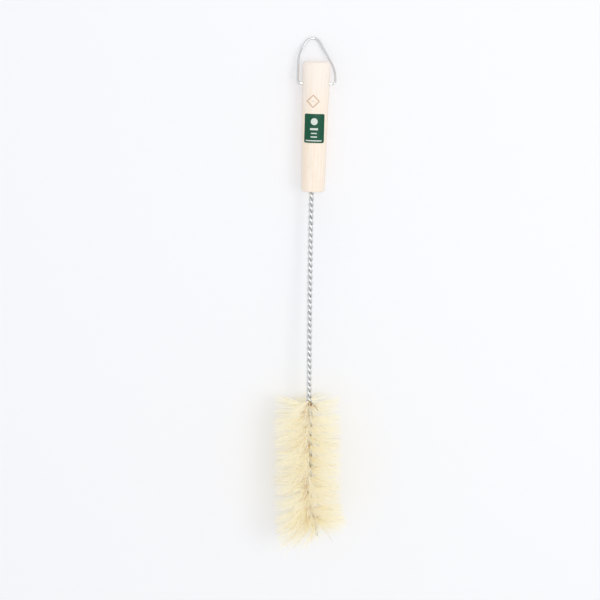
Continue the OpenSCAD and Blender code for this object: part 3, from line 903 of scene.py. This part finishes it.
# %% The finished fibre
taper = add(tree, MAP_RANGE, {0: even, 3: 0.5, 4: 0.28})
half_thick = add(tree, MATHS, {0: given.outputs["Thickness"], 1: taper}, operation="MULTIPLY")
wide_on = add(tree, VECTORS, {0: told["below"], "Scale": rod_parts.outputs["X"]},
              operation="SCALE")
wide_round = add(tree, VECTORS, {0: told["level"], "Scale": rod_parts.outputs["Y"]},
                 operation="SCALE")
skin = add(tree, VECTORS, {0: wide_on, 1: wide_round})
skin = add(tree, VECTORS, {0: skin, "Scale": half_thick}, operation="SCALE")
skin = add(tree, VECTORS, {0: centre, 1: skin})
parts = add(tree, SPLIT, {0: skin})
above = add(tree, MATHS, {0: parts.outputs["Z"], 1: given.outputs["Floor"]},
            operation="MAXIMUM")
resting = add(tree, "ShaderNodeCombineXYZ", {0: parts.outputs["X"], 1: parts.outputs["Y"],
                                             2: above})
moved = add(tree, "GeometryNodeSetPosition", {"Geometry": rods, "Position": resting})
marked_out = add(tree, KEEP, {"Geometry": moved, "Name": "outwards", "Value": even})
coloured = add(tree, "GeometryNodeSetMaterial", {"Geometry": marked_out,
                                                 "Material": given.outputs["Finish"]})
add(tree, "NodeGroupOutput", {"Head": coloured})
bristles = tree
print("The fibre tree is done, with", len(bristles.nodes), "nodes")

# %% [markdown]
# ## Growing the head
# The middle line carries three facts at each station: the first strand's angle, how much the
# fibres at the sides lean along the brush there, and how long they are. They lean back over
# the first turns by up to 30 degrees, and forward at the tip by a few. The head is grown in
# two passes with their own seeds, so no piece holds too many faces.

# %% Middle line and fibres
lean_l, back_by, forward_by = 22.0, 30, 5


def lean(s):
    back_lean = back_by * max(1 - (s - stem_l) / lean_l, 0) ** 2
    forward_lean = forward_by * max(1 - (head_to - s) / lean_l, 0) ** 2.2
    return math.tan(math.radians(forward_lean - back_lean))


def head_line(name):
    count = 201
    places = [stem_l + head_l * i / (count - 1) for i in range(count)]
    line = new_object(name, [middle(s) for s in places],
                      edges=[(i, i + 1) for i in range(count - 1)])
    facts = line.data.attributes.new("facts", "FLOAT_VECTOR", "POINT")
    for spot, s in zip(facts.data, places):
        spot.vector = (lay(s), lean(s), 1 / math.hypot(1, lean(s)))
    return line


fibres_each, passes = 2400, 2
print(f"{passes * fibres_each} fibres on {head_l} mm of wire")
for number in range(1, passes + 1):
    head = grow(head_line(f"head_line_{number}"), bristles, {
        "Fibres": fibres_each, "Fibres in a lock": 16, "Seed": 10 * number,
        "Thickness": 0.27 * MM, "Reach": 27.2 * MM, "Fan": 0.2, "Spread": 0.16,
        "Curl": 0.11, "Floor": 0.25 * MM, "Finish": straw}, f"fibres_{number}")
    for name in told:
        if name in head.data.attributes:
            head.data.attributes.remove(head.data.attributes[name])
    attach(head, "brush")
    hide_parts("bristle_head")

# %% [markdown]
# ## Two stray fibres
# A few darker fibres never find a place in the twist and lie across the others. Two of them
# show where the head begins. They are matt too, but brown. Each is a short chain of points
# beside the wire, given as the way to the right of the middle line, the distance s and the
# height, in millimetres, and the wire's tree can make them.

# %% Stray fibres
strays = (((0.8, 164.3, 1.5), (3.0, 165.2, 6.5), (5.2, 166.8, 10.5), (7.0, 169.0, 13.0)),
          ((-0.4, 166.0, 3.4), (-0.2, 170.0, 4.6), (-0.4, 174.5, 3.6)))
points = [middle(s) + Vector((right, 0, 0)) * MM + upward * up * MM
          for fibre in strays for right, s, up in fibre]
stray_path = new_object("stray_path", points, edges=[
    (i, i + 1) for i in range(len(points) - 1) if i != len(strays[0]) - 1])
stray_path.data.attributes.new("corner_r", "FLOAT", "POINT")
brown, tree, surface = new_finish("brown_plant_fibre", roughness=0.5)
coordinates = add(tree, "ShaderNodeTexCoord")
brown_shade = add(tree, "ShaderNodeTexNoise", {"Vector": coordinates.outputs["Object"],
                                               "Scale": 1 / (1.5 * MM)})
brown_tint = add(tree, RAMP, {0: brown_shade.outputs[0]})
colour_ramp(brown_tint, [(0.3, "#6f6140"), (0.7, "#a3926a")])
tree.links.new(brown_tint.outputs[0], surface.inputs["Base Color"])
stray = grow(stray_path, round_wire, {"Diameter": 0.36 * MM, "Sides": 6, "Corner steps": 1,
                                      "Finish": brown}, "stray_fibres")
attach(stray, "brush")
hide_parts("bristle_head")

# %% [markdown]
# ## View and bounces
# The picture is shown with the plain Standard view, so a colour in the light is the colour
# that was written. Pale fibres pass light on to each other many times before it is spent, so
# the light may bounce 16 times off matt things, where 4 would leave the head too dark.

# %% View and bounces
scene.view_settings.view_transform = "Standard"
scene.cycles.diffuse_bounces = 16
scene.cycles.max_bounces = 24
